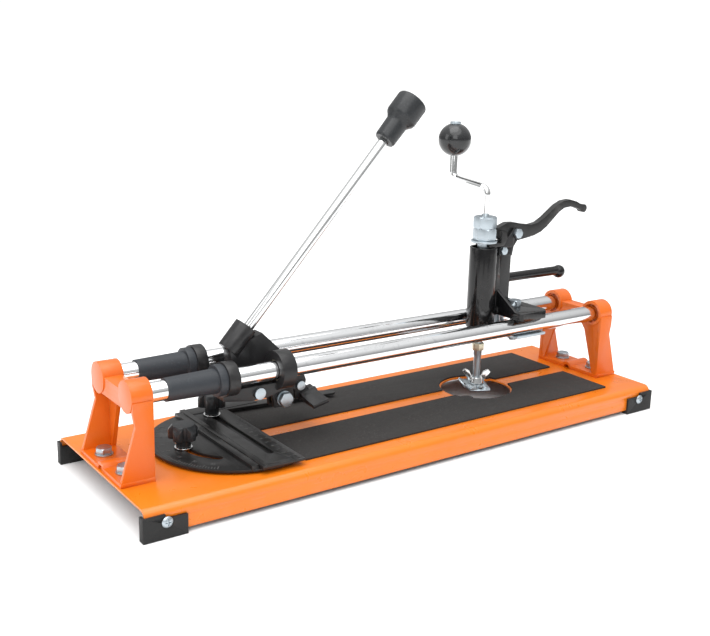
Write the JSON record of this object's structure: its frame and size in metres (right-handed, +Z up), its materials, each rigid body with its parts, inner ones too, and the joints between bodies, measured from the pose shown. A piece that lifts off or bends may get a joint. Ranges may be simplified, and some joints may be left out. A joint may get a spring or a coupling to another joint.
{
  "type": "tile cutter",
  "caption": "Manual tile cutter: folded steel base with rubber pads, guide rails, sliding lever head with scoring wheel, swivelling angle gauge and crank-driven hole cutter.",
  "frame": {"origin": "on the floor under the middle of the base", "axes": "+X along the rails from the lever end to the hole cutter end, +Y to the back, +Z up"},
  "size_m": [0.6248, 0.2046, 0.3534],
  "materials": {
    "orange_paint": "orange powder coat, semi-gloss",
    "pad_rubber": "ribbed dark grey rubber",
    "foot_rubber": "moulded black rubber",
    "chrome_rod": "polished chrome",
    "black_paint": "black enamel",
    "sleeve_vinyl": "soft dark vinyl",
    "grip_plastic": "moulded black plastic",
    "bush_plastic": "cream acetal",
    "wheel_brass": "coated cutting wheel",
    "carbide": "ground tungsten carbide",
    "passivated_nut": "yellow passivated zinc",
    "zinc_steel": "bright zinc plate"
  },
  "bodies": {
    "base": {"base_plate": "orange_paint", "front_pad": "pad_rubber", "back_pad": "pad_rubber", "left_bracket": "orange_paint", "right_bracket": "orange_paint", "front_rail": "chrome_rod", "back_rail": "chrome_rod", "bracket_bolts": "zinc_steel", "bracket_washers": "zinc_steel", "bracket_nuts": "zinc_steel", "foot_front_left": "foot_rubber", "foot_front_right": "foot_rubber", "foot_back_left": "foot_rubber", "foot_back_right": "foot_rubber", "foot_screws": "zinc_steel", "foot_nuts": "zinc_steel", "gauge_pivot": "zinc_steel", "swivel_stud": "zinc_steel"},
    "carriage": {"carriage_frame": "black_paint", "front_guide_sleeve": "sleeve_vinyl", "back_guide_sleeve": "sleeve_vinyl", "ring_bushes": "bush_plastic", "tilt_pin": "zinc_steel"},
    "head": {"lever_head": "black_paint", "lever_rod": "chrome_rod", "lever_knob": "grip_plastic", "wheel_axle": "zinc_steel", "axle_nut": "zinc_steel", "foot_pin": "zinc_steel"},
    "wheel": {"scoring_wheel": "wheel_brass"},
    "foot": {"breaker_foot": "black_paint"},
    "cutter": {"cutter_body": "black_paint", "spindle_bushes": "bush_plastic", "clamp_bolt": "zinc_steel", "clamp_nut": "zinc_steel", "lever_straps": "black_paint", "strap_pins": "zinc_steel", "feed_spring": "zinc_steel"},
    "clamp_plate": {"clamp_plate": "zinc_steel"},
    "clamp_handle": {"clamp_screw": "zinc_steel", "clamp_handle": "black_paint"},
    "quill": {"thrust_washer": "zinc_steel"},
    "spindle": {"spindle": "zinc_steel", "jam_nuts": "zinc_steel", "crank_rod": "chrome_rod", "crank_ball": "grip_plastic", "crank_cap_nut": "zinc_steel", "spindle_lock_nut": "passivated_nut"},
    "bit": {"bit_plate": "zinc_steel", "bit_screw": "zinc_steel", "carbide_bit": "carbide"},
    "wing": {"wing_nut": "zinc_steel"},
    "feed_lever": {"feed_lever": "black_paint"},
    "gauge": {"protractor": "black_paint", "ruler_stud": "zinc_steel"},
    "ruler": {"ruler": "black_paint"},
    "swivel_grip": {"swivel_knob": "grip_plastic", "swivel_washer": "zinc_steel"},
    "ruler_grip": {"ruler_knob": "grip_plastic", "ruler_washer": "zinc_steel"}
  },
  "joints": [
    {"name": "carriage_slide", "type": "slide", "parent": "base", "child": "carriage", "axis": [1, 0, 0], "range_m": [-0.012, 0.15]},
    {"name": "lever_tilt", "type": "hinge", "parent": "carriage", "child": "head", "pos_m": [-0.168, 0, 0.0845], "axis": [0, -1, 0], "range_deg": [-15, 5]},
    {"name": "wheel_spin", "type": "hinge", "parent": "head", "child": "wheel", "pos_m": [-0.125, 0, 0.0635], "axis": [0, 1, 0], "continuous": true},
    {"name": "foot_swing", "type": "hinge", "parent": "head", "child": "foot", "pos_m": [-0.106, 0, 0.0735], "axis": [0, 1, 0], "range_deg": [-10, 8]},
    {"name": "cutter_slide", "type": "slide", "parent": "base", "child": "cutter", "axis": [-1, 0, 0], "range_m": [-0.075, 0.04]},
    {"name": "clamp_turn", "type": "hinge", "parent": "cutter", "child": "clamp_handle", "pos_m": [0.172, 0.016, 0.1455], "axis": [0, 0, 1], "range_deg": [0, 90]},
    {"name": "clamp_plate_travel", "type": "slide", "parent": "cutter", "child": "clamp_plate", "axis": [0, 0, 1], "range_m": [-0.0004, 0]},
    {"name": "spindle_feed", "type": "slide", "parent": "cutter", "child": "quill", "axis": [0, 0, 1], "range_m": [0, 0.012], "deforming": ["feed_spring"]},
    {"name": "crank_spin", "type": "hinge", "parent": "quill", "child": "spindle", "pos_m": [0.131, 0, 0.1975], "axis": [0, 0, 1], "continuous": true},
    {"name": "feed_lever_swing", "type": "hinge", "parent": "cutter", "child": "feed_lever", "pos_m": [0.172, 0, 0.201], "axis": [0, 1, 0], "range_deg": [-0.5, 17]},
    {"name": "wing_nut_turn", "type": "hinge", "parent": "spindle", "child": "wing", "pos_m": [0.131, 0, 0.0395], "axis": [0, 0, 1], "continuous": true},
    {"name": "bit_slide", "type": "slide", "parent": "spindle", "child": "bit", "axis": [-0.454, -0.891, 0], "range_m": [-0.005, 0.004]},
    {"name": "gauge_swivel", "type": "hinge", "parent": "base", "child": "gauge", "pos_m": [-0.174, 0, 0.0305], "axis": [0, 0, 1], "range_deg": [-40, 40]},
    {"name": "ruler_slide", "type": "slide", "parent": "gauge", "child": "ruler", "axis": [0, 1, 0], "range_m": [0, 0.06]},
    {"name": "swivel_knob_turn", "type": "hinge", "parent": "base", "child": "swivel_grip", "pos_m": [-0.228, 0, 0.0425], "axis": [0, 0, 1], "continuous": true},
    {"name": "ruler_knob_turn", "type": "hinge", "parent": "gauge", "child": "ruler_grip", "pos_m": [-0.169, 0.0575, 0.0455], "axis": [0, 0, 1], "continuous": true}
  ],
  "couplings": [
    {"joint": "clamp_plate_travel", "follows": "clamp_turn", "m_per_rad": -0.0002387},
    {"joint": "feed_lever_swing", "follows": "spindle_feed", "rad_per_m": 24.1}
  ]
}
